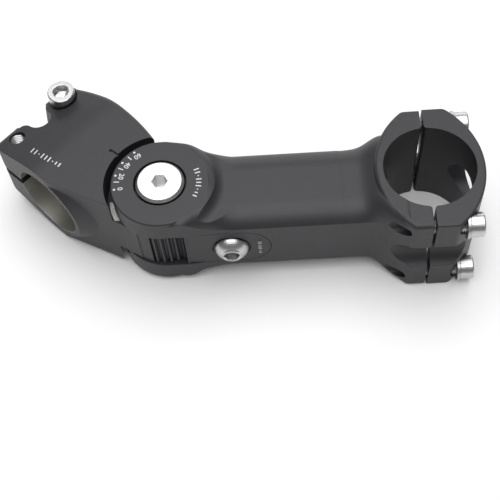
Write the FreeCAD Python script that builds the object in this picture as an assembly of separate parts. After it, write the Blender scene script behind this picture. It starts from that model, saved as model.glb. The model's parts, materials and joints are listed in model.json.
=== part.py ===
import FreeCAD, Part
import math
import os

# Angle-adjustable bicycle handlebar stem, millimetres.
# It lies on its side: +Z is across the stem, parallel to the pivot and to the handlebar,
# +X runs along the extension towards the handlebar, and -Y is the underside.
# Everything is modelled about the pivot (pivot axis = Z, mid-plane = Z 0), and then moved
# so that the origin is the middle of the steerer clamp's bore.

V = FreeCAD.Vector

# ---------------------------------------------------------------- driving dimensions
run_clear = 0.05            # radial clearance of a screw or pin that turns
slide_clear = 0.2           # clearance round a piece that slides

# steerer clamp
steerer_d = 28.6
steerer_wall = 3.6
steerer_angle = 46.0        # steerer axis, from +X, at rest
steerer_offset = 35.3       # pivot axis to steerer axis
clamp_low = -25.5           # lower end of the bore, along the steerer axis from the pivot
clamp_high = 14.5           # upper end
clamp_half_width = 18.5
clamp_edge_round = 2.0
rim_wall = 1.9              # wall left round the bore at the clamp's lower end
rim_taper = 6.0             # length over which the lower end widens at 45 degrees
pinch_slot = 3.0
pinch_offset = 20.7         # steerer axis to the pinch bolts, square to the steerer
pinch_upper = 5.1           # the two pinch bolts, along the steerer axis from the pivot
pinch_lower = -17.75
pinch_seat = 12.0           # height of the head's spot-face above the mid-plane
pinch_length = 24.0
spot_gap = 0.5              # gap round a head in its spot-face
lug_length = 26.7           # steerer axis to the rear end of the pinch lugs
flat_end = -0.3             # steerer axis to where the flat sides start to slope in
lug_turn = 8.0              # length over which that slope begins
lug_slope = 17.0            # degrees
lug_end_round = 4.4
lug_corner = 5.0            # round at the lower rear corner of the lugs
lug_shoulder = 7.2          # upper pinch bolt to the top of its lug
waist_radius = 4.4          # scoop between the two pinch lugs
waist_depth = 7.4           # its depth below the end of the lugs
waist_corner = 2.8          # round where the scoop meets the end of the lugs
waist_lean = 12.0           # degrees by which the scoop deepens towards each side

# pivot
hub_radius = 16.5           # tips of the hub teeth
hub_half_width = 8.9
tooth_count = 40            # teeth in a full turn
tooth_depth = 1.3
tooth_start, tooth_end = 252.0, 342.0
ear_radius = 17.3
ear_inner = 9.5
ear_outer = 18.5
pad_radius = 18.5           # rim of the ear's face on the handlebar side
pad_foot = 23.5             # where the slope below that rim runs out
pad_end = 26.0              # where the beam is back to its plain section
recess_radius = 19.6        # round recess in the clamp that the ears turn in
pivot_head_d = 17.0
pivot_head_t = 5.0
pivot_head_proud = 0.9
counterbore_gap = 0.75
sleeve_d = 12.0
pivot_thread_d = 8.0
bush_wall = 1.5
thrust_washer_t = 0.5
thrust_washer_d = 27.0
index_angle = 140.0
index_length = 4.6
index_width = 1.0
index_depth = 0.8

# extension
bar_distance = 92.6         # pivot axis to handlebar axis
bar_drop = 0.8              # handlebar axis below the pivot axis
beam_half_width = 15.7
beam_top = 16.4
beam_top_round = 11.5
underside = 16.7            # flat land along the underside, below the pivot axis
land_half_width = 11.8
lower_side = 8.0            # height of the curved lower sides
flare_length = 22.0         # length over which the beam widens into the handlebar clamp
hollow_radius = 9.5
hollow_start = 44.0

# lock block and its bolt
lock_x = 23.2
block_half_width = 9.4
block_end_x = 37.0
block_front_x = 8.0
block_height = 11.0
block_bore_gap = 0.3
mesh_gap = 0.5              # released clearance between block teeth and hub teeth
lock_length = 22.0

# handlebar clamp
bar_d = 31.8
clamp_bar_half_width = 20.35
lens_radius = 31.0
lens_offset = 12.1
lens_half_height = 24.1
slit = 1.0
slit_shift = 0.7            # slit plane behind the handlebar axis
valley_radius = 7.1
valley_centre = 26.5
face_bolt_y = 20.8
face_bolt_z = 14.8
face_seat = 10.1            # washer seat in front of the handlebar axis
face_length = 16.0
window_width = 14.0
window_length = 25.0
clamp_round = 1.5           # rim of the extension's half
faceplate_round = 0.7       # rim of the faceplate
lip_round = 1.2             # where the slit meets the bore
lens_corner_round = 3.0

# screws: thread, head diameter, head height, hex key, hex depth
M5 = dict(d=5.0, head=8.5, height=5.0, key=4.0, deep=2.6)
M6 = dict(d=6.0, head=10.0, height=6.0, key=5.0, deep=3.2)
BUTTON = dict(d=6.0, head=12.4, height=4.4, key=5.0, deep=2.6)
button_sunk = 0.7           # depth of the button head's seat below the underside
washer_t = 1.0
washer_d = 9.4

# ---------------------------------------------------------------- derived values
steerer_r = steerer_d / 2
bar_r = bar_d / 2
barrel_r = steerer_r + steerer_wall
hub_bore_r = sleeve_d / 2 + run_clear + bush_wall
cavity_radius = hub_radius + mesh_gap + tooth_depth
seat_z = ear_outer + pivot_head_proud - pivot_head_t
slit_x = bar_distance - slit_shift
block_floor = -underside + block_height
slot_half_width = block_half_width + slide_clear
pinch_along = (pinch_upper, pinch_lower)
pinch_reach = steerer_offset + pinch_offset
lug_end = steerer_offset + lug_length
lug_flat_end = steerer_offset + flat_end
waist_floor = lug_end - waist_depth


def steerer_to_pivot(s, n, z=0.0):
    """Point at s along the steerer axis and n square to it, in the pivot frame."""
    a = math.radians(steerer_angle)
    return V(s * math.cos(a) - n * math.sin(a), s * math.sin(a) + n * math.cos(a), z)


clamp_centre = steerer_to_pivot((clamp_low + clamp_high) / 2, steerer_offset)


# ---------------------------------------------------------------- helpers
def cylinder(radius, length, base, axis):
    return Part.makeCylinder(radius, length, base, axis)


def ring(outer, inner, length, base, axis):
    return cylinder(outer, length, base, axis).cut(cylinder(inner, length, base, axis))


def block_between(low, high):
    return Part.makeBox(high.x - low.x, high.y - low.y, high.z - low.z, low)


def prism(edges, along):
    """Closed outline of edges, swept by the vector along."""
    return Part.Face(Part.Wire(edges)).extrude(along)


def line(a, b):
    return Part.LineSegment(a, b).toShape()


def arc(a, b, c):
    return Part.Arc(a, b, c).toShape()


def sector(radius, length, start, end, base):
    """Wedge of a cylinder about Z between two angles, in degrees."""
    wedge = Part.makeCylinder(radius, length, base, V(0, 0, 1), end - start)
    wedge.rotate(base, V(0, 0, 1), start)
    return wedge


def hexagon(key, deep):
    """Hexagonal socket from Z 0 down to -deep, across flats = key."""
    corner = key / math.sqrt(3)
    points = [V(corner * math.cos(math.radians(60 * i)), corner * math.sin(math.radians(60 * i)), 0)
              for i in range(7)]
    return Part.Face(Part.makePolygon(points)).extrude(V(0, 0, -deep))


def place(shape, base, axis):
    """Turn a shape built along +Z to lie along axis, and move its origin to base."""
    out = shape.copy()
    out.Placement = FreeCAD.Placement(base, FreeCAD.Rotation(V(0, 0, 1), axis))
    return out


def edges_where(shape, test):
    return [edge for edge in shape.Edges if test(edge)]


# ---------------------------------------------------------------- screws
def cap_screw(size, length):
    """Socket cap screw: seat at Z 0, head above, shank below."""
    head = cylinder(size["head"] / 2, size["height"], V(0, 0, 0), V(0, 0, 1))
    rim = edges_where(head, lambda e: e.BoundBox.ZMin > size["height"] - 0.01)
    head = head.makeChamfer(0.1 * size["height"], rim[:1])
    head = head.cut(place(hexagon(size["key"], size["deep"]), V(0, 0, size["height"]), V(0, 0, 1)))
    return head.fuse(shank(size["d"], length)).removeSplitter()


def shank(diameter, length):
    """Plain shank of the thread's outer diameter with a chamfered end."""
    body = cylinder(diameter / 2, length, V(0, 0, -length), V(0, 0, 1))
    tip = edges_where(body, lambda e: e.BoundBox.ZMax < 0.01 - length)
    return body.makeChamfer(0.12 * diameter, tip[:1])


def button_screw(size, length):
    """Button-head screw: a low dome over a short straight rim."""
    r = size["head"] / 2
    top = 0.52 * r
    rim = 0.28 * size["height"]
    crown = arc(V(r, 0, rim), V(0.5 * (r + top) + 0.35, 0, 0.5 * (rim + size["height"]) + 0.45),
                V(top, 0, size["height"]))
    outline = [line(V(0, 0, 0), V(r, 0, 0)), line(V(r, 0, 0), V(r, 0, rim)), crown,
               line(V(top, 0, size["height"]), V(0, 0, size["height"])),
               line(V(0, 0, size["height"]), V(0, 0, 0))]
    head = Part.Face(Part.Wire(outline)).revolve(V(0, 0, 0), V(0, 0, 1), 360)
    head = head.cut(place(hexagon(size["key"], size["deep"]), V(0, 0, size["height"]), V(0, 0, 1)))
    return head.fuse(shank(size["d"], length)).removeSplitter()


# ---------------------------------------------------------------- teeth
def tooth_ring(root, tip, half_width, start, end):
    """Triangular teeth from the root radius to the tip radius, over an arc of the hub."""
    pitch = 360.0 / tooth_count
    teeth = []
    for i in range(int((end - start) / pitch)):
        centre = start + (i + 0.5) * pitch
        corners = [(root, -0.5), (tip, -0.1), (tip, 0.1), (root, 0.5)]
        points = [V(r * math.cos(math.radians(centre + k * pitch)),
                    r * math.sin(math.radians(centre + k * pitch)), -half_width)
                  for r, k in corners]
        face = Part.Face(Part.makePolygon(points + points[:1]))
        teeth.append(face.extrude(V(0, 0, 2 * half_width)))
    return teeth


# ---------------------------------------------------------------- steerer clamp
def clamp_profile():
    """Side outline of the clamp casting, in steerer coordinates (s, n)."""
    nose = V(clamp_high - 3.1, steerer_offset - 23.3, 0)
    crown = V(clamp_high + 0.5, steerer_offset - 1.3, 0)
    lug_top = V(pinch_upper + lug_shoulder, pinch_reach - 0.5, 0)
    turn = lug_corner * (1 - math.sqrt(0.5))
    corner = [V(clamp_low + lug_corner, lug_end, 0), V(clamp_low + turn, lug_end - turn, 0),
              V(clamp_low, lug_end - lug_corner, 0)]
    heel = V(clamp_low, steerer_offset - 4.8, 0)
    belly = [V(clamp_low + 5.1, steerer_offset - 21.3, 0), V(-hub_radius - 1.1, 4.0, 0),
             V(-hub_radius, -3.0, 0)]
    return [arc(nose, crown, lug_top), line(lug_top, V(lug_top.x, lug_end, 0)),
            line(V(lug_top.x, lug_end, 0), corner[0]), arc(*corner), line(corner[2], heel),
            arc(heel, belly[0], belly[1]), line(belly[1], belly[2]), line(belly[2], V(0, 0, 0)),
            line(V(0, 0, 0), nose)]


def clamp_section():
    """End outline of the casting in (n, z): flat sides that slope in towards the pinch lugs."""
    slope = math.radians(lug_slope)
    turn_r = lug_turn / math.sin(slope)
    turn_n = lug_flat_end + lug_turn
    turn_z = clamp_half_width - turn_r * (1 - math.cos(slope))
    half_n = lug_flat_end + turn_r * math.sin(slope / 2)
    half_z = clamp_half_width - turn_r * (1 - math.cos(slope / 2))
    round_n = lug_end - lug_end_round * (1 - math.sin(slope))
    round_z = turn_z - (round_n - turn_n) * math.tan(slope)
    centre_n = lug_end - lug_end_round
    centre_z = round_z - lug_end_round * math.cos(slope)
    middle = (math.pi / 2 - slope) / 2
    x = 2 * clamp_low
    right = [V(x, -hub_radius - 4, clamp_half_width), V(x, lug_flat_end, clamp_half_width),
             V(x, half_n, half_z), V(x, turn_n, turn_z), V(x, round_n, round_z),
             V(x, centre_n + lug_end_round * math.cos(middle), centre_z + lug_end_round * math.sin(middle)),
             V(x, lug_end, centre_z)]
    left = [V(p.x, p.y, -p.z) for p in right]
    return [line(left[0], right[0]), line(right[0], right[1]), arc(right[1], right[2], right[3]),
            line(right[3], right[4]), arc(right[4], right[5], right[6]), line(right[6], left[6]),
            arc(left[6], left[5], left[4]), line(left[4], left[3]), arc(left[3], left[2], left[1]),
            line(left[1], left[0])]


def barrel(section):
    """Wall round the steerer bore; its lower end tapers to a thin rim and widens into the body."""
    wall = cylinder(barrel_r, clamp_high - clamp_low, V(clamp_low, steerer_offset, 0), V(1, 0, 0))
    rim = steerer_r + rim_wall
    base = V(clamp_low, steerer_offset, 0)
    taper = Part.makeCone(rim, rim + rim_taper, rim_taper, base, V(1, 0, 0))
    outer = cylinder(barrel_r + rim_taper, rim_taper, base, V(1, 0, 0)).cut(taper)
    return wall.cut(outer).fuse(taper.common(section))


def waist():
    """Scoop between the two pinch lugs, deeper towards each side."""
    middle = (pinch_upper + pinch_lower) / 2 - 0.4
    reach = 2 * clamp_half_width
    turn = waist_corner * (1 - math.sqrt(0.5))
    wide = waist_radius + waist_corner
    right = [V(0, waist_floor, 0), V(waist_radius, waist_floor + waist_radius, 0),
             V(waist_radius, lug_end - waist_corner, 0), V(waist_radius + turn, lug_end - turn, 0),
             V(wide, lug_end, 0), V(wide, lug_end + reach, 0)]
    left = [V(-p.x, p.y, 0) for p in right]
    outline = [arc(left[1], left[0], right[1]), line(right[1], right[2]), arc(right[2], right[3], right[4]),
               line(right[4], right[5]), line(right[5], left[5]), line(left[5], left[4]),
               arc(left[4], left[3], left[2]), line(left[2], left[1])]
    tools = []
    for side in (1, -1):
        tool = prism(outline, V(0, 0, 2 * reach))
        tool.translate(V(middle, 0, -reach))
        tool.rotate(V(middle, waist_floor, 0), V(1, 0, 0), side * waist_lean)
        half = block_between(V(middle - reach, 0, min(0, side * reach)),
                             V(middle + reach, 2 * lug_end, max(0, side * reach)))
        tools.append(tool.common(half))
    return tools[0].fuse(tools[1])


def steerer_clamp():
    w = clamp_half_width
    side = prism(clamp_profile(), V(0, 0, 2 * w))
    side.translate(V(0, 0, -w))
    section = prism(clamp_section(), V(-4 * clamp_low, 0, 0))
    body = side.common(section)
    rims = edges_where(body, lambda e: e.BoundBox.XMin > 9.0 and e.BoundBox.YMin > 8.0
                       and e.BoundBox.YLength > 1.0 and e.BoundBox.ZLength < 1.5 * w)
    body = body.makeFillet(clamp_edge_round, rims)
    body = body.fuse(barrel(section))
    body = body.cut(waist())
    body = body.cut(cylinder(steerer_r, 4 * w, V(-2 * w, steerer_offset, 0), V(1, 0, 0)))
    body = body.cut(block_between(V(-60, steerer_offset, -pinch_slot / 2),
                                  V(40, lug_end + 5, pinch_slot / 2)))
    for s, side in zip(pinch_along, (1, -1)):
        body = body.cut(cylinder(M6["d"] / 2 + run_clear, 4 * w, V(s, pinch_reach, -2 * w), V(0, 0, 1)))
        seat = V(s, pinch_reach, side * pinch_seat)
        body = body.cut(cylinder(M6["head"] / 2 + spot_gap, w, seat, V(0, 0, side)))
    body.rotate(V(0, 0, 0), V(0, 0, 1), steerer_angle)

    for side in (1, -1):
        body = body.cut(cylinder(recess_radius, w, V(0, 0, side * hub_half_width), V(0, 0, side)))
    groove = block_between(V(recess_radius - 1, -index_width / 2, w - index_depth),
                           V(recess_radius + index_length - 1, index_width / 2, w + 1))
    groove.rotate(V(0, 0, 0), V(0, 0, 1), index_angle)
    body = body.cut(groove)
    root = hub_radius - tooth_depth
    body = body.cut(sector(recess_radius, 2 * hub_half_width, tooth_start - 8, tooth_end + 90,
                           V(0, 0, -hub_half_width)))
    hub = cylinder(root, 2 * hub_half_width, V(0, 0, -hub_half_width), V(0, 0, 1))
    plain = sector(hub_radius, 2 * hub_half_width, tooth_end - 360 + 60, tooth_start,
                   V(0, 0, -hub_half_width))
    teeth = tooth_ring(root - 0.3, hub_radius, hub_half_width, tooth_start, tooth_end)
    body = body.fuse([hub, plain] + teeth)
    body = body.cut(cylinder(hub_bore_r, 3 * w, V(0, 0, -1.5 * w), V(0, 0, 1)))
    return body.removeSplitter()


# ---------------------------------------------------------------- extension
def beam_section(x, half_width, top, top_round, bottom, land, side):
    """Section across the beam at X = x: flat land below, curved lower sides, round top edges."""
    over = half_width - land
    r = (side ** 2 + over ** 2) / (2 * over)
    a = math.asin(side / r) / 2
    diagonal = 1 - math.sqrt(0.5)
    right = [V(x, -bottom, land), V(x, side - bottom - r * math.sin(a), half_width - r * (1 - math.cos(a))),
             V(x, side - bottom, half_width), V(x, top - top_round, half_width),
             V(x, top - diagonal * top_round, half_width - diagonal * top_round),
             V(x, top, half_width - top_round)]
    left = [V(p.x, p.y, -p.z) for p in right]
    return Part.Wire([line(left[0], right[0]), arc(right[0], right[1], right[2]),
                      line(right[2], right[3]), arc(right[3], right[4], right[5]),
                      line(right[5], left[5]), arc(left[5], left[4], left[3]),
                      line(left[3], left[2]), arc(left[2], left[1], left[0])])


def plain_section(x):
    return beam_section(x, beam_half_width, beam_top, beam_top_round, underside, land_half_width,
                        lower_side)


def beam():
    """Straight beam from the pivot that flares into the handlebar clamp."""
    end = bar_distance - 8.6
    start = end - flare_length
    straight = Part.makeLoft([plain_section(0), plain_section(start)], True, True)
    # distance along the flare, share of the widening, share of the deepening below
    growth = [(0.18, 0.0, 0.0), (0.31, 0.09, 0.0), (0.45, 0.38, 0.02), (0.59, 0.78, 0.14),
              (0.73, 0.97, 0.40), (0.86, 1.0, 0.66), (1.0, 1.0, 0.86)]
    deepen = bar_drop + lens_half_height - underside
    widen = clamp_bar_half_width - beam_half_width
    sections = [plain_section(start)]
    for share, wide, deep in growth:
        sections.append(beam_section(start + share * flare_length, beam_half_width + widen * wide,
                                     beam_top + 1.5 * wide, beam_top_round - 2 * wide,
                                     underside + deepen * deep, land_half_width + 1.45 * widen * deep,
                                     lower_side * (1 - 0.75 * deep)))
    return straight.fuse(Part.makeLoft(sections, True)).removeSplitter()


def lens(rim_round):
    """Outline of the handlebar clamp: two large arcs that meet in flats over the bolt bosses."""
    w = clamp_bar_half_width
    rear, front = [cylinder(lens_radius, 2 * w, V(bar_distance + offset, -bar_drop, -w), V(0, 0, 1))
                   for offset in (lens_offset, -lens_offset)]
    shape = rear.common(front)
    shape = shape.common(block_between(V(bar_distance - 40, -bar_drop - lens_half_height, -w),
                                       V(bar_distance + 40, -bar_drop + lens_half_height, w)))
    corners = edges_where(shape, lambda e: e.BoundBox.ZLength > w)
    shape = shape.makeFillet(lens_corner_round, corners)
    rims = edges_where(shape, lambda e: e.BoundBox.ZLength < 0.01)
    return shape.makeFillet(rim_round, rims)


def clamp_half(rim_round, side):
    """Half of the handlebar clamp, side -1 behind the slit and 1 in front of it."""
    cut_x = slit_x + side * slit / 2
    away = block_between(V(cut_x - 80, -60, -60), V(cut_x, 60, 60))
    if side < 0:
        away.translate(V(80, 0, 0))
    half = lens(rim_round).cut(away).cut(bar_bore())
    lips = edges_where(half, lambda e: e.BoundBox.XLength < 0.01 and e.BoundBox.YLength < 0.01
                       and abs(e.BoundBox.XMin - cut_x) < 0.01
                       and abs(e.BoundBox.YMin + bar_drop) < bar_r + 1)
    return half.makeFillet(lip_round, lips)


def valleys():
    """Scoops along X between the two bolt bosses, above and below."""
    return [cylinder(valley_radius, 80, V(bar_distance - 40, side * valley_centre - bar_drop, 0), V(1, 0, 0))
            for side in (1, -1)]


def bar_bore():
    return cylinder(bar_r, 80, V(bar_distance, -bar_drop, -40), V(0, 0, 1))


def face_bolt_positions():
    return [V(bar_distance, side_y * face_bolt_y - bar_drop, side_z * face_bolt_z)
            for side_y in (-1, 1) for side_z in (1, -1)]


def ears():
    parts = []
    for side in (1, -1):
        ear = cylinder(ear_radius, ear_outer - ear_inner, V(0, 0, side * ear_inner), V(0, 0, side))
        rim = edges_where(ear, lambda e: abs(abs(e.BoundBox.ZMin) - ear_outer) < 0.01
                          and e.BoundBox.ZLength < 0.01)
        parts.append(ear.makeFillet(0.7, rim[:1]))
    return parts


def pads():
    """Both faces of the pivot end, carried on towards the beam and sloping down to its sides."""
    reach = pad_end + 8
    crest, foot = ear_outer, beam_half_width - 0.05
    sag = V(pad_radius + 0.28 * (pad_foot - pad_radius), 0, foot + 0.36 * (crest - foot))
    outline = [line(V(0, 0, 0), V(reach, 0, 0)), line(V(reach, 0, 0), V(reach, 0, foot)),
               line(V(reach, 0, foot), V(pad_foot, 0, foot)),
               arc(V(pad_foot, 0, foot), sag, V(pad_radius, 0, crest)),
               line(V(pad_radius, 0, crest), V(0, 0, crest)), line(V(0, 0, crest), V(0, 0, 0))]
    turned = Part.Face(Part.Wire(outline)).revolve(V(0, 0, 0), V(0, 0, 1), 360)
    turned = turned.fuse(turned.mirror(V(0, 0, 0), V(0, 0, 1)))
    # distance towards the beam, share of the pad's width, share of the beam's rounding, and of its land
    shares = [(0.0, 1.0, 0.0, 0.0), (0.23, 1.0, 0.1, 0.0), (0.385, 1.0, 0.27, 0.26),
              (0.47, 1.0, 0.47, 0.56), (0.54, 1.0, 0.69, 0.73), (0.63, 0.97, 0.9, 0.83),
              (0.75, 0.62, 0.98, 0.91),
              (0.885, 0.17, 1.0, 0.97), (1.0, 0.0, 1.0, 1.0)]
    sections = []
    for share, wide, rounded, landed in shares:
        half_width = beam_half_width + (crest + 0.05 - beam_half_width) * wide
        sections.append(beam_section(pad_end * share, half_width,
                                     ear_radius + (beam_top - ear_radius) * rounded,
                                     1.0 + (beam_top_round - 1.0) * rounded,
                                     ear_radius + (underside - ear_radius) * min(1, 1.3 * landed),
                                     half_width - 0.8 + (land_half_width - half_width + 0.8) * landed,
                                     3.0 + (lower_side - 3.0) * landed))
    return Part.makeLoft(sections, True).common(turned)


def slot_tool(half_width, end_x, start_x, y_low, y_high):
    """Round-ended slot along X, open towards the hub, between two heights."""
    turn_x = end_x - half_width
    outline = [line(V(start_x, y_low, -half_width), V(turn_x, y_low, -half_width)),
               arc(V(turn_x, y_low, -half_width), V(end_x, y_low, 0), V(turn_x, y_low, half_width)),
               line(V(turn_x, y_low, half_width), V(start_x, y_low, half_width)),
               line(V(start_x, y_low, half_width), V(start_x, y_low, -half_width))]
    return prism(outline, V(0, y_high - y_low, 0))


def extension_body():
    body = beam().fuse(ears() + [pads(), clamp_half(clamp_round, -1)])
    for tool in valleys():
        body = body.cut(tool)
    body = body.cut(block_between(V(slit_x - slit / 2, -60, -60), V(200, 60, 60)))
    body = body.cut(bar_bore())
    hollow = cylinder(hollow_radius, bar_distance - hollow_start, V(hollow_start, 0, 0), V(1, 0, 0))
    body = body.cut(hollow.fuse(Part.makeSphere(hollow_radius, V(hollow_start, 0, 0))))
    body = body.cut(cylinder(cavity_radius, 2 * ear_inner, V(0, 0, -ear_inner), V(0, 0, 1)))
    body = body.cut(slot_tool(slot_half_width, block_end_x + slide_clear, 0, -underside - 5,
                              block_floor + 2 * slide_clear))
    body = body.cut(cylinder(BUTTON["d"] / 2 + run_clear, lock_length, V(lock_x, -underside, 0), V(0, 1, 0)))
    for side in (1, -1):
        body = body.cut(cylinder(pivot_head_d / 2 + counterbore_gap, 20, V(0, 0, side * seat_z),
                                 V(0, 0, side)))
    body = body.cut(cylinder(sleeve_d / 2 + run_clear, 80, V(0, 0, -40), V(0, 0, 1)))
    for p in face_bolt_positions():
        body = body.cut(cylinder(M5["d"] / 2 + run_clear, 40, V(slit_x, p.y, p.z), V(-1, 0, 0)))
    return body.removeSplitter()


# ---------------------------------------------------------------- faceplate
def faceplate():
    body = clamp_half(faceplate_round, 1)
    for tool in valleys():
        body = body.cut(tool)
    half = window_width / 2
    reach = window_length / 2 - half
    x = bar_distance
    outline = [line(V(x, -reach, -half), V(x, reach, -half)),
               arc(V(x, reach, -half), V(x, reach + half, 0), V(x, reach, half)),
               line(V(x, reach, half), V(x, -reach, half)),
               arc(V(x, -reach, half), V(x, -reach - half, 0), V(x, -reach, -half))]
    window = prism(outline, V(40, 0, 0))
    window.translate(V(0, -bar_drop, 0))
    body = body.cut(window)
    for p in face_bolt_positions():
        body = body.cut(cylinder(M5["d"] / 2 + 0.3, 40, V(slit_x, p.y, p.z), V(1, 0, 0)))
        seat = V(bar_distance + face_seat, p.y, p.z)
        body = body.cut(cylinder(washer_d / 2 + 0.4, 40, seat, V(1, 0, 0)))
    return body.removeSplitter()


# ---------------------------------------------------------------- lock block
def lock_block():
    body = slot_tool(block_half_width, block_end_x, block_front_x, -underside, block_floor)
    tip = hub_radius + mesh_gap
    root = tip + tooth_depth
    space = cylinder(root, 2 * block_half_width, V(0, 0, -block_half_width), V(0, 0, 1))
    body = body.cut(space)
    start = -math.degrees(math.acos(block_front_x / root)) + 1
    inward = []
    pitch = 360.0 / tooth_count
    first = tooth_start - 360 + pitch * math.ceil((start - tooth_start + 360) / pitch)
    for i in range(int((-math.degrees(math.asin(-block_floor / root)) - first) / pitch)):
        centre = first + i * pitch
        corners = [(root + 0.4, -0.5), (tip, -0.1), (tip, 0.1), (root + 0.4, 0.5)]
        points = [V(r * math.cos(math.radians(centre + k * pitch)),
                    r * math.sin(math.radians(centre + k * pitch)), -block_half_width)
                  for r, k in corners]
        face = Part.Face(Part.makePolygon(points + points[:1]))
        inward.append(face.extrude(V(0, 0, 2 * block_half_width)))
    body = body.fuse(inward)
    seat = V(lock_x, button_sunk - underside, 0)
    body = body.cut(cylinder(BUTTON["head"] / 2 + 0.6, 20, seat, V(0, -1, 0)))
    body = body.cut(cylinder(BUTTON["d"] / 2 + block_bore_gap, 40, V(lock_x, -30, 0), V(0, 1, 0)))
    return body.removeSplitter()


def lock_bolt():
    return place(button_screw(BUTTON, lock_length - BUTTON["height"]), V(lock_x, button_sunk - underside, 0),
                 V(0, -1, 0))


# ---------------------------------------------------------------- pivot hardware
def flat_head():
    """Broad flat head of the pivot hardware, seat at Z 0, with a bevelled rim."""
    head = cylinder(pivot_head_d / 2, pivot_head_t, V(0, 0, 0), V(0, 0, 1))
    rim = edges_where(head, lambda e: e.BoundBox.ZMin > pivot_head_t - 0.01)
    head = head.makeChamfer(0.9, rim[:1])
    return head.cut(place(hexagon(M6["key"], M6["deep"] + 0.6), V(0, 0, pivot_head_t), V(0, 0, 1)))


def pivot_bolt():
    length = seat_z + ear_outer - 6.5
    screw = flat_head().fuse(shank(pivot_thread_d, length)).removeSplitter()
    return place(screw, V(0, 0, seat_z), V(0, 0, 1))


def pivot_sleeve_nut():
    length = 2 * seat_z - 0.6
    sleeve = cylinder(sleeve_d / 2, length, V(0, 0, -length), V(0, 0, 1))
    nut = flat_head().fuse(sleeve)
    nut = nut.cut(cylinder(pivot_thread_d / 2 + run_clear, length, V(0, 0, -length), V(0, 0, 1)))
    return place(nut.removeSplitter(), V(0, 0, -seat_z), V(0, 0, -1))


def thrust_washer(side):
    base = V(0, 0, side * (ear_inner - thrust_washer_t))
    return ring(thrust_washer_d / 2, sleeve_d / 2 + 0.3, thrust_washer_t, base, V(0, 0, side))


def pivot_bush():
    return ring(hub_bore_r, sleeve_d / 2 + run_clear, 2 * hub_half_width, V(0, 0, -hub_half_width),
                V(0, 0, 1))


# ---------------------------------------------------------------- build
nodes = {
    "steerer_clamp": steerer_clamp(),
    "extension_body": extension_body(),
    "faceplate": faceplate(),
    "lock_block": lock_block(),
    "lock_bolt": lock_bolt(),
    "pivot_bolt": pivot_bolt(),
    "pivot_sleeve_nut": pivot_sleeve_nut(),
    "pivot_bush": pivot_bush(),
    "thrust_washer_upper": thrust_washer(1),
    "thrust_washer_lower": thrust_washer(-1),
}

for label, s, side in (("upper", pinch_upper, 1), ("lower", pinch_lower, -1)):
    seat = steerer_to_pivot(s, pinch_reach, side * pinch_seat)
    nodes["pinch_bolt_" + label] = place(cap_screw(M6, pinch_length), seat, V(0, 0, side))

for number, p in enumerate(face_bolt_positions(), 1):
    seat = V(bar_distance + face_seat, p.y, p.z)
    nodes["faceplate_washer_%d" % number] = ring(washer_d / 2, M5["d"] / 2 + 0.2, washer_t, seat, V(1, 0, 0))
    head = V(seat.x + washer_t, p.y, p.z)
    nodes["faceplate_bolt_%d" % number] = place(cap_screw(M5, face_length), head, V(1, 0, 0))

os.makedirs("parts", exist_ok=True)
for name, shape in nodes.items():
    shape.translate(-clamp_centre)
    shape.exportStep("parts/%s.step" % name)
    print(name, shape.ShapeType, len(shape.Solids), shape.isValid(), round(shape.Volume, 1))
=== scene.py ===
import json
import math

import bmesh
import bpy
from mathutils import Euler, Matrix, Vector

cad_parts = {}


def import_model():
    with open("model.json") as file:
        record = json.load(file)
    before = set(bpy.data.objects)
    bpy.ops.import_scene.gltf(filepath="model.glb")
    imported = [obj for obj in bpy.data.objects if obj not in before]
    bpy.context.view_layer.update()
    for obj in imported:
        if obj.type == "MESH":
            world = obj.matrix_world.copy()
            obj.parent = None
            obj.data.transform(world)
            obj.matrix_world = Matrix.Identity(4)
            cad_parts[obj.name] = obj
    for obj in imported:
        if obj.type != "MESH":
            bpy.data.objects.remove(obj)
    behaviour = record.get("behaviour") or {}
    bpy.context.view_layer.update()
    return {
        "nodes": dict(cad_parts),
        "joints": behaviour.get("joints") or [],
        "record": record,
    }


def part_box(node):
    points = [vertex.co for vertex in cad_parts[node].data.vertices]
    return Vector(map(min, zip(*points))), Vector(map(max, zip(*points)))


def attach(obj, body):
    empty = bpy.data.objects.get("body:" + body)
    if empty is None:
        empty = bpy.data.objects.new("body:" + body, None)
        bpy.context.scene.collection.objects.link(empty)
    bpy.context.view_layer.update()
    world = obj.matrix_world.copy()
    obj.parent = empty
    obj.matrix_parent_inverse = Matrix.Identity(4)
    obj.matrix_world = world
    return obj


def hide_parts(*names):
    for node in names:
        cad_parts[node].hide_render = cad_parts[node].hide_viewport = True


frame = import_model()

MM = 0.001
CAMERA = Vector((38.90, -199.83, 321.65))    # from the pivot, in millimetres
CAMERA_TURN = (29.366, 2.814, -2.052)        # in degrees about X, Y and Z
SENSOR, LENS = 36.0, 75.93                   # in millimetres

WELD = 0.002 * MM            # vertices closer than this become one
THREAD_WELD = 0.004 * MM     # the same for the turns of a thread
THREAD_STEPS = 24            # steps in one turn of a thread
PRINT_LIFT = 0.012 * MM      # a printed mark's middle, above the surface
PRINT_THICK = 0.03 * MM

# Screws in millimetres: widths of the head, the socket and the thread, and the socket's depth.
PINCH_SCREW = {"head": 10.0, "height": 6.0, "key": 5.0, "deep": 3.2,
               "diameter": 6.0, "pitch": 1.0, "length": 24.0}
PLATE_SCREW = {"head": 8.5, "height": 5.0, "key": 4.0, "deep": 2.6,
               "diameter": 5.0, "pitch": 0.8, "length": 16.0}
LOCK_SCREW = {"head": 12.4, "height": 4.4, "key": 5.0, "deep": 2.6,
              "diameter": 6.0, "pitch": 1.0, "length": 17.6}
LOCK_SEAT = 4.38 * MM        # just under the head's height, to keep the seat out of the block's plane

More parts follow.
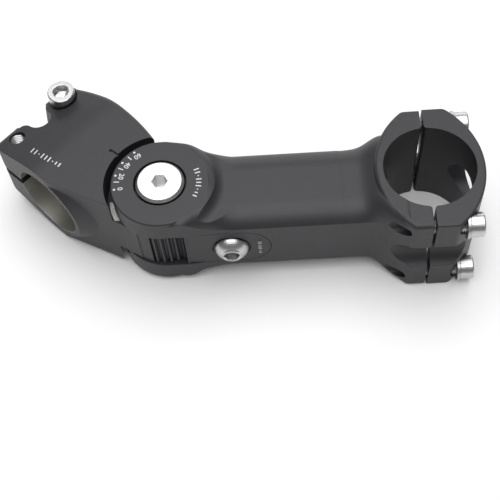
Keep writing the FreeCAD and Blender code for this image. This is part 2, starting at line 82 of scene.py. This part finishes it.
# ---------------------------------------------------------------- places, from the frame
joints = {joint["name"]: joint for joint in frame["joints"]}
pivot = Vector(joints["pivot"]["pos_m"])
mounts = {mount["name"]: mount for mount in frame["record"]["mounts"]}
bar = Vector(mounts["handlebar_clamp"]["pos_m"])
steerer_axis = Vector(mounts["steerer_clamp"]["axis"])
floor_z = min(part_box(node)[0][2] for node in frame["nodes"])
ear_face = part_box("pivot_bolt")[1][2] - 0.9 * MM
plate_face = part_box("lock_block")[0][1]


def middle(node):
    low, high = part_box(node)
    return (Vector(low) + Vector(high)) / 2


# ---------------------------------------------------------------- shader helpers
class Socket:
    """A shader value that adds a Math node for each operator used on it."""

    def __init__(self, tree, output):
        self.tree = tree
        self.output = output

    def math(self, operation, *values):
        node = self.tree.nodes.new("ShaderNodeMath")
        node.operation = operation
        for slot, value in zip(node.inputs, values):
            if isinstance(value, Socket):
                self.tree.links.new(value.output, slot)
            else:
                slot.default_value = value
        return Socket(self.tree, node.outputs[0])

    def __add__(self, other):
        return self.math("ADD", self, other)

    def __radd__(self, other):
        return self.math("ADD", other, self)

    def __sub__(self, other):
        return self.math("SUBTRACT", self, other)

    def __rsub__(self, other):
        return self.math("SUBTRACT", other, self)

    def __mul__(self, other):
        return self.math("MULTIPLY", self, other)

    def __rmul__(self, other):
        return self.math("MULTIPLY", other, self)

    def __truediv__(self, other):
        return self.math("DIVIDE", self, other)

    def over(self, other):
        return self.math("GREATER_THAN", self, other)

    def under(self, other):
        return self.math("LESS_THAN", self, other)

    def wave(self):
        return self.math("SINE", self)

    def ramp(self, low, high):
        """0 below low, 1 above high, straight between."""
        return self.math("MINIMUM", self.math("MAXIMUM", (self - low) / (high - low), 0.0), 1.0)


class Material:
    """A procedural material on Object coordinates, with one Principled shader."""

    def __init__(self, name, **settings):
        self.made = bpy.data.materials.new(name)
        self.made.use_nodes = True
        self.tree = self.made.node_tree
        self.shader = self.tree.nodes["Principled BSDF"]
        self.set(**settings)
        self.place = self.node("ShaderNodeTexCoord").outputs["Object"]

    def node(self, kind, settings=None, **values):
        made = self.tree.nodes.new(kind)
        for key, value in (settings or {}).items():
            setattr(made, key, value)
        for key, value in values.items():
            self.feed(made.inputs[key.replace("_", " ")], value)
        return made

    def feed(self, slot, value):
        if isinstance(value, Socket):
            self.tree.links.new(value.output, slot)
        elif isinstance(value, bpy.types.NodeSocket):
            self.tree.links.new(value, slot)
        else:
            slot.default_value = value

    def set(self, **values):
        for key, value in values.items():
            self.feed(self.shader.inputs[key.replace("_", " ")], value)

    def value(self, output):
        return Socket(self.tree, output)

    def vector(self, operation, first, second=None):
        made = self.node("ShaderNodeVectorMath", {"operation": operation})
        self.feed(made.inputs[0], first)
        if second is not None:
            self.feed(made.inputs[1], second)
        return made.outputs["Value" if operation == "LENGTH" else "Vector"]

    def from_axis(self, point, axis):
        """Distance from a line, in metres."""
        return self.value(self.vector("LENGTH", self.vector("CROSS_PRODUCT", self.vector(
            "SUBTRACT", self.place, tuple(point)), tuple(axis.normalized()))))

    def coordinate(self, axis):
        parts = self.node("ShaderNodeSeparateXYZ", Vector=self.place)
        return self.value(parts.outputs[axis])

    def noise(self, size, detail=3.0):
        """Noise with features of about the given size in metres, 0 to 1."""
        made = self.node("ShaderNodeTexNoise", Vector=self.place, Scale=1.0 / size,
                         Detail=detail, Roughness=0.5)
        return self.value(made.outputs[0])

    def mix(self, factor, first, second):
        made = self.node("ShaderNodeMix", {"data_type": "RGBA"})
        self.feed(made.inputs[0], factor)
        self.feed(made.inputs[6], first)
        self.feed(made.inputs[7], second)
        return made.outputs[2]

    def soft_edges(self, radius):
        return self.node("ShaderNodeBevel", {"samples": 6}, Radius=radius).outputs[0]

    def bump(self, height, distance, normal=None):
        made = self.node("ShaderNodeBump", Height=height, Distance=distance)
        if normal is not None:
            self.feed(made.inputs["Normal"], normal)
        self.set(Normal=made.outputs[0])


def grey(level):
    return (level, level, level, 1.0)


# ---------------------------------------------------------------- finishes
def powder_coat(name, bare=None):
    """Satin black powder coat. bare(material) gives a mask of uncoated, machined metal."""
    m = Material(name, IOR=1.5)
    grain = m.noise(0.22 * MM, 2.0)
    peel = m.noise(1.3 * MM, 2.0)
    cloud = m.noise(16 * MM, 3.0)
    dust = m.noise(0.5 * MM, 1.0).ramp(0.74, 0.82) * m.noise(9 * MM, 2.0).ramp(0.5, 0.75)
    colour = m.mix(cloud, (0.017, 0.017, 0.020, 1), (0.024, 0.024, 0.028, 1))
    colour = m.mix(dust * 0.5, colour, (0.16, 0.16, 0.16, 1))
    roughness = 0.40 + 0.10 * peel + 0.06 * cloud
    height = grain * 0.6 + peel
    if bare is not None:
        mask = bare(m)
        scratch = m.noise(0.35 * MM, 3.0)
        colour = m.mix(mask, colour, m.mix(scratch, (0.30, 0.29, 0.265, 1), (0.52, 0.51, 0.47, 1)))
        roughness = roughness * (1 - mask) + mask * (0.34 + 0.16 * scratch)
        m.set(Metallic=mask * 0.9)
    m.set(Base_Color=colour, Roughness=roughness)
    m.bump(height, 0.022 * MM, m.soft_edges(0.28 * MM))
    return m.made


def bare_clamp_metal(m):
    """The steerer bore and the floor of the pivot recess are left uncoated."""
    bore_edge, recess_floor = 14.36 * MM, 9.1 * MM
    inner, outer = 16.9 * MM, 18.9 * MM
    lower, upper = pivot.y - 8.6 * MM, pivot.y - 1.0 * MM
    bore = m.from_axis((0, 0, 0), steerer_axis).under(bore_edge)
    height = m.coordinate("Z")
    side = m.coordinate("Y")
    radius = m.from_axis(pivot, Vector((0, 0, 1)))
    recess = (height.under(recess_floor) * height.over(0.0) * radius.under(outer) * radius.over(inner)
              * side.over(lower) * side.under(upper) * m.coordinate("X").under(pivot.x))
    return bore.math("MAXIMUM", bore, recess)


def bright_steel(name, low=0.46, high=0.62, rough=0.20):
    m = Material(name, Metallic=1.0)
    cloud = m.noise(2.2 * MM)
    fine = m.noise(0.12 * MM, 2.0)
    m.set(Base_Color=m.mix(cloud, (low, low, low * 1.01, 1), (high, high, high * 1.005, 1)),
          Roughness=rough + 0.12 * cloud + 0.06 * fine)
    m.bump(fine, 0.006 * MM, m.soft_edges(0.12 * MM))
    return m.made


def turned_steel(name, centre):
    """Plated steel with the fine rings that a lathe leaves about the centre line."""
    m = Material(name, Metallic=1.0)
    radius = m.from_axis(centre, Vector((0, 0, 1)))
    wander = m.noise(1.5 * MM, 2.0)
    rings = (radius * (2 * math.pi / (0.16 * MM)) + wander * 5.0).wave() * 0.5 + 0.5
    m.set(Base_Color=m.mix(wander, grey(0.50), grey(0.62)), Roughness=0.22 + 0.10 * rings)
    m.bump(rings, 0.004 * MM, m.soft_edges(0.15 * MM))
    return m.made


def plain_bronze():
    m = Material("plain_bronze", Metallic=1.0)
    cloud = m.noise(3 * MM)
    m.set(Base_Color=m.mix(cloud, (0.5, 0.36, 0.16, 1), (0.62, 0.46, 0.24, 1)), Roughness=0.3 + 0.1 * cloud)
    return m.made


def print_white():
    m = Material("printed_white", IOR=1.45)
    wear = m.noise(0.3 * MM, 2.0)
    m.set(Base_Color=m.mix(wear, grey(0.42), grey(0.82)), Roughness=0.45 + 0.1 * wear)
    return m.made


def cover(node, material):
    mesh = frame["nodes"][node].data
    mesh.materials.clear()
    mesh.materials.append(material)


coat = powder_coat("satin_powder_coat")
clamp_coat = powder_coat("satin_powder_coat_machined", bare_clamp_metal)
steel = bright_steel("bright_plated_steel")
washer_steel = bright_steel("washer_steel", 0.40, 0.55, 0.26)
white = print_white()
cover("steerer_clamp", clamp_coat)
cover("pivot_bush", plain_bronze())
for node in ("extension_body", "faceplate", "lock_block"):
    cover(node, coat)
for node in ("pivot_bolt", "pivot_sleeve_nut"):
    cover(node, turned_steel("turned_" + node, middle(node)))
for node in frame["nodes"]:
    if "washer" in node:
        cover(node, washer_steel)


# ---------------------------------------------------------------- mesh helpers
def finish(bm, name, body, material, replaced=()):
    """Merge, face outwards, and hand the piece to its body."""
    bmesh.ops.remove_doubles(bm, verts=bm.verts, dist=WELD)
    bmesh.ops.recalc_face_normals(bm, faces=bm.faces)
    mesh = bpy.data.meshes.new(name)
    bm.to_mesh(mesh)
    bm.free()
    piece = bpy.data.objects.new(name, mesh)
    mesh.materials.append(material)
    bpy.context.scene.collection.objects.link(piece)
    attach(piece, body)
    if replaced:
        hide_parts(*replaced)
    return piece


def lathe(bm, outline, steps=48):
    """Turn an outline of (radius, height) in millimetres about Z."""
    verts = [bm.verts.new((r * MM, 0, z * MM)) for r, z in outline]
    edges = [bm.edges.new(pair) for pair in zip(verts, verts[1:])]
    bmesh.ops.spin(bm, geom=verts + edges, cent=(0, 0, 0), axis=(0, 0, 1), dvec=(0, 0, 0),
                   angle=2 * math.pi, steps=steps, use_merge=True, use_normal_flip=False,
                   use_duplicate=False)
    bmesh.ops.remove_doubles(bm, verts=bm.verts, dist=WELD)


def hexagon(bm, key, low, high):
    """Pull the ring of socket vertices between two heights out to a hexagon."""
    across = key / 2
    for vert in bm.verts:
        radius = math.hypot(vert.co.x, vert.co.y) / MM
        if low <= vert.co.z / MM <= high and abs(radius - across) < 0.01:
            turn = math.degrees(math.atan2(vert.co.y, vert.co.x)) % 60 - 30
            grow = 1 / math.cos(math.radians(turn))
            vert.co.x *= grow
            vert.co.y *= grow


def thread(outer, pitch, top, bottom):
    """External thread about Z between two heights, closed at both ends."""
    bm = bmesh.new()
    root = outer - 0.6 * pitch
    outline = [(root, 0.0), (outer, 0.38 * pitch), (outer, 0.5 * pitch),
               (root, 0.88 * pitch), (root, pitch)]
    verts = [bm.verts.new((r * MM, 0, (bottom - pitch + z) * MM)) for r, z in outline]
    edges = [bm.edges.new(pair) for pair in zip(verts, verts[1:])]
    turns = math.ceil((top - bottom) / pitch) + 1
    bmesh.ops.spin(bm, geom=verts + edges, cent=(0, 0, 0), axis=(0, 0, 1),
                   dvec=(0, 0, pitch * MM / THREAD_STEPS), angle=2 * math.pi * turns,
                   steps=THREAD_STEPS * turns, use_merge=False, use_normal_flip=False,
                   use_duplicate=False)
    bmesh.ops.remove_doubles(bm, verts=bm.verts, dist=THREAD_WELD)
    for height, normal in ((top, (0, 0, 1)), (bottom, (0, 0, -1))):
        geom = bm.verts[:] + bm.edges[:] + bm.faces[:]
        cut = bmesh.ops.bisect_plane(bm, geom=geom, dist=0, plane_co=(0, 0, height * MM),
                                     plane_no=normal, clear_outer=True, clear_inner=False)
        rim = [item for item in cut["geom_cut"] if isinstance(item, bmesh.types.BMEdge)]
        bmesh.ops.edgeloop_fill(bm, edges=rim)
    for vert in bm.verts:                    # taper the tip
        over = bottom + 0.7 * pitch - vert.co.z / MM
        if over > 0 and vert.co.xy.length > 0:
            widest = root + 0.1 - 0.6 * over + 0.6 * pitch
            keep = min(1.0, widest / max(vert.co.xy.length / MM, 0.1))
            vert.co.x *= keep
            vert.co.y *= keep
    return bm


def joined(target, source):
    """Add the mesh of source to target."""
    made = bpy.data.meshes.new("part")
    source.to_mesh(made)
    source.free()
    target.from_mesh(made)
    bpy.data.meshes.remove(made)


def seated(bm, seat, axis):
    """Turn Z to the axis and move the origin to the seat."""
    turn = Vector((0, 0, 1)).rotation_difference(Vector(axis)).to_matrix().to_4x4()
    bmesh.ops.transform(bm, matrix=Matrix.Translation(seat) @ turn, verts=bm.verts)


def cap_screw(name, seat, axis, head, height, key, deep, diameter, pitch, length):
    """Socket cap screw: turned head with a hexagonal socket, threaded shank."""
    r, across = head / 2, key / 2
    bm = bmesh.new()
    lathe(bm, [(0, 0), (r - 0.3, 0), (r - 0.08, 0.08), (r, 0.3), (r, height - 0.55),
               (r - 0.12, height - 0.22), (r - 0.42, height),
               (across * 1.22, height), (across * 1.16, height - 0.08),
               (across, height - 0.45), (across, height - deep), (across * 0.5, height - deep - 0.35),
               (0, height - deep - 0.6)])
    hexagon(bm, key, height - deep - 0.01, height - 0.4)
    joined(bm, thread(diameter / 2 - 0.03, pitch, 0.3, -length))
    seated(bm, seat, axis)
    finish(bm, name + "_screw", name, steel, [name])


def button_screw(name, seat, axis, head, height, key, deep, diameter, pitch, length):
    """Button-head screw: domed head with a hexagonal socket, threaded shank."""
    r, across = head / 2, key / 2
    bm = bmesh.new()
    dome = [(r - 0.1, 0.0), (r, 0.1), (r, 0.9), (r * 0.985, 1.3), (r * 0.95, 1.85), (r * 0.89, 2.45),
            (r * 0.81, 3.05), (r * 0.71, 3.6), (r * 0.62, 3.98),
            (r * 0.56, height - 0.04), (r * 0.52, height)]
    lathe(bm, [(0, 0)] + dome + [(across * 1.17, height), (across, height - 0.3), (across, height - deep),
                                 (across * 0.5, height - deep - 0.3), (0, height - deep - 0.5)])
    hexagon(bm, key, height - deep - 0.01, height - 0.25)
    joined(bm, thread(diameter / 2 - 0.03, pitch, 0.3, -length))
    seated(bm, seat, axis)
    finish(bm, name + "_screw", name, steel, [name])


# ---------------------------------------------------------------- screws
def screws():
    """The seven screws, each placed by the box of the CAD screw that it replaces."""
    for name, side in (("pinch_bolt_upper", 1), ("pinch_bolt_lower", -1)):
        low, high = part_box(name)
        place = middle(name)
        head = PINCH_SCREW["height"] * MM
        seat = Vector((place.x, place.y, high[2] - head if side > 0 else low[2] + head))
        cap_screw(name, seat, (0, 0, side), **PINCH_SCREW)
    for number in range(1, 5):
        name = "faceplate_bolt_%d" % number
        place = middle(name)
        seat = Vector((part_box(name)[1][0] - PLATE_SCREW["height"] * MM, place.y, place.z))
        cap_screw(name, seat, (1, 0, 0), **PLATE_SCREW)
    place = middle("lock_bolt")
    seat = Vector((place.x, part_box("lock_bolt")[0][1] + LOCK_SEAT, place.z))
    button_screw("lock_bolt", seat, (0, -1, 0), **LOCK_SCREW)


def boss_threads():
    """Tapped thread seen in the open ends of the four bolt bosses."""
    start, end = bar.x - 8.2 * MM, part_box("faceplate_bolt_1")[0][0] - 0.2 * MM
    pitch, outer, root = PLATE_SCREW["pitch"], 2.53, 2.12
    turns = int((end - start) / (pitch * MM)) - 1
    outline = [(outer, 0.0), (root, 0.36 * pitch), (root, 0.5 * pitch),
               (outer, 0.86 * pitch), (outer, pitch)]
    for number in range(1, 5):
        place = middle("faceplate_bolt_%d" % number)
        bm = bmesh.new()
        verts = [bm.verts.new((r * MM, 0, z * MM)) for r, z in outline]
        edges = [bm.edges.new(pair) for pair in zip(verts, verts[1:])]
        bmesh.ops.spin(bm, geom=verts + edges, cent=(0, 0, 0), axis=(0, 0, 1),
                       dvec=(0, 0, pitch * MM / THREAD_STEPS), angle=2 * math.pi * turns,
                       steps=THREAD_STEPS * turns, use_merge=False, use_normal_flip=False,
                       use_duplicate=False)
        bmesh.ops.remove_doubles(bm, verts=bm.verts, dist=THREAD_WELD)
        bmesh.ops.recalc_face_normals(bm, faces=bm.faces)
        bmesh.ops.solidify(bm, geom=bm.faces[:], thickness=-0.01 * MM)
        seated(bm, Vector((start, place.y, place.z)), (1, 0, 0))
        finish(bm, "boss_thread_%d" % number, "extension", coat)


# ---------------------------------------------------------------- printed marks
def stroke(bm, at, along, length, width, normal):
    """A thin printed bar, centred at a point."""
    made = bmesh.ops.create_cube(bm, size=1.0)["verts"]
    bmesh.ops.scale(bm, vec=(length * MM, width * MM, PRINT_THICK), verts=made)
    along = Vector(along).normalized()
    normal = Vector(normal).normalized()
    turn = Matrix((along, normal.cross(along), normal)).transposed().to_4x4()
    bmesh.ops.transform(bm, matrix=Matrix.Translation(at) @ turn, verts=made)


def dot(bm, at, radius, normal):
    """A thin printed disc, centred at a point."""
    made = bmesh.ops.create_cone(bm, cap_ends=True, cap_tris=False, segments=20, radius1=radius * MM,
                                 radius2=radius * MM, depth=PRINT_THICK)["verts"]
    turn = Vector((0, 0, 1)).rotation_difference(Vector(normal)).to_matrix().to_4x4()
    bmesh.ops.transform(bm, matrix=Matrix.Translation(at) @ turn, verts=made)


def on_ear(radius, degrees):
    """A printed mark's middle on the near ear, at a radius in millimetres from the pivot."""
    a = math.radians(degrees)
    return Vector((pivot.x + radius * MM * math.cos(a), pivot.y + radius * MM * math.sin(a),
                   ear_face + PRINT_LIFT))


def dial():
    """Index dots, ticks and numbers round the ear's face."""
    bm = bmesh.new()
    marks = [(124.5, "60"), (145.5, "40"), (166.0, "20"), (187.0, "0")]
    for degrees, _ in marks:
        dot(bm, on_ear(15.9, degrees), 0.42, (0, 0, 1))
    for degrees in (134.5, 154.5, 175.5):
        inward = on_ear(14.0, degrees) - on_ear(16.0, degrees)
        stroke(bm, on_ear(15.1, degrees), inward, 1.9, 0.38, (0, 0, 1))
    finish(bm, "dial_marks", "extension", white)
    for degrees, text in marks:
        number(text, on_ear(13.9, degrees), degrees + 90, 1.9)


def number(text, at, degrees, size):
    """A printed number of about the given height in millimetres."""
    data = bpy.data.curves.new("number_" + text, "FONT")
    data.body = text
    data.size = size * MM * 1.35
    data.align_x = "CENTER"
    data.align_y = "CENTER"
    data.extrude = 0.015 * MM
    data.offset = 0.03 * MM
    data.resolution_u = 3
    holder = bpy.data.objects.new("number_" + text, data)
    bpy.context.scene.collection.objects.link(holder)
    bpy.context.view_layer.update()
    mesh = bpy.data.meshes.new_from_object(holder)
    bpy.data.objects.remove(holder)
    bm = bmesh.new()
    bm.from_mesh(mesh)
    bpy.data.meshes.remove(mesh)
    turn = Matrix.Rotation(math.radians(degrees), 4, "Z")
    bmesh.ops.transform(bm, matrix=Matrix.Translation(at) @ turn, verts=bm.verts)
    finish(bm, "dial_number_" + text, "extension", white)


def on_surface(node, x, y, z):
    """Where the camera's line through a point meets the node, and the surface direction there."""
    piece = frame["nodes"][node]
    eye = pivot + CAMERA * MM
    back = piece.matrix_world.inverted()
    start = back @ eye
    _, at, normal, _ = piece.ray_cast(start, (back @ (pivot + Vector((x, y, z)) * MM)) - start)
    return piece.matrix_world @ at, normal


def plain_marks():
    """Rows of plain printed strokes: on the clamp's side, round the ear and on the lock plate."""
    pattern = [1.0, 1.0, 0.2, 1.0, 0.9, 1.0, 0.2, 0.6, 0.8]
    last = len(pattern) - 1
    bm = bmesh.new()
    first, step = Vector((-45.2, 16.6, 0)), Vector((9.9, -6.9, 0)) / last
    across = Vector((-step.y, step.x, 0))
    for i, tall in enumerate(pattern):
        place = first + step * i
        at, normal = on_surface("steerer_clamp", place.x, place.y, 18.5)
        flat = (across - normal * across.dot(normal)).normalized()
        stroke(bm, at + normal * PRINT_LIFT, flat, 2.1 * tall, 0.5, normal)
    finish(bm, "clamp_marks", "clamp", white)
    bm = bmesh.new()
    for i, tall in enumerate(pattern):
        degrees = 20 - i * 5.9
        outward = on_ear(14, degrees) - on_ear(12, degrees)
        stroke(bm, on_ear(13.5, degrees), outward, 1.9 * tall, 0.46, (0, 0, 1))
    finish(bm, "ear_marks", "extension", white)
    bm = bmesh.new()
    for i, tall in enumerate(pattern):
        at = Vector((pivot.x + 33.2 * MM, plate_face - PRINT_LIFT, pivot.z + (3.6 - 0.9 * i) * MM))
        stroke(bm, at, (1, 0, 0), 1.3 * tall, 0.3, (0, -1, 0))
    finish(bm, "plate_marks", "lock_block", white)


screws()
boss_threads()
dial()
plain_marks()


# ---------------------------------------------------------------- camera, light and floor
def camera():
    data = bpy.data.cameras.new("camera")
    made = bpy.data.objects.new("camera", data)
    data.sensor_width = SENSOR
    data.lens = LENS
    data.clip_start = 0.01
    made.location = pivot + CAMERA * MM
    made.rotation_euler = Euler([math.radians(turn) for turn in CAMERA_TURN])
    bpy.context.scene.collection.objects.link(made)
    bpy.context.scene.camera = made


def softbox(name, place, target, size, power):
    data = bpy.data.lights.new(name, "AREA")
    data.shape = "RECTANGLE"
    data.size, data.size_y = size
    data.energy = power
    made = bpy.data.objects.new(name, data)
    made.location = place
    made.rotation_euler = (Vector(target) - Vector(place)).to_track_quat("-Z", "Y").to_euler()
    bpy.context.scene.collection.objects.link(made)


def floor():
    mesh = bpy.data.meshes.new("floor")
    bm = bmesh.new()
    bmesh.ops.create_grid(bm, x_segments=1, y_segments=1, size=3.0)
    bmesh.ops.translate(bm, verts=bm.verts, vec=(0, 0, floor_z))
    bm.to_mesh(mesh)
    bm.free()
    made = bpy.data.objects.new("floor", mesh)
    bpy.context.scene.collection.objects.link(made)
    mesh.materials.append(Material("floor_white", Base_Color=grey(0.93), Roughness=0.8).made)


def world():
    made = bpy.data.worlds.new("world")
    made.use_nodes = True
    made.node_tree.nodes["Background"].inputs[0].default_value = grey(1.0)
    made.node_tree.nodes["Background"].inputs[1].default_value = 0.22
    bpy.context.scene.world = made


camera()
floor()
world()
softbox("top_softbox", (0.05, 0.05, 1.0), (0.05, 0.04, 0), (1.2, 1.5), 15.0)
softbox("back_softbox", (0.1, 1.0, 0.30), (0.05, 0, 0), (1.2, 0.4), 3)
bpy.context.scene.view_settings.view_transform = "Standard"
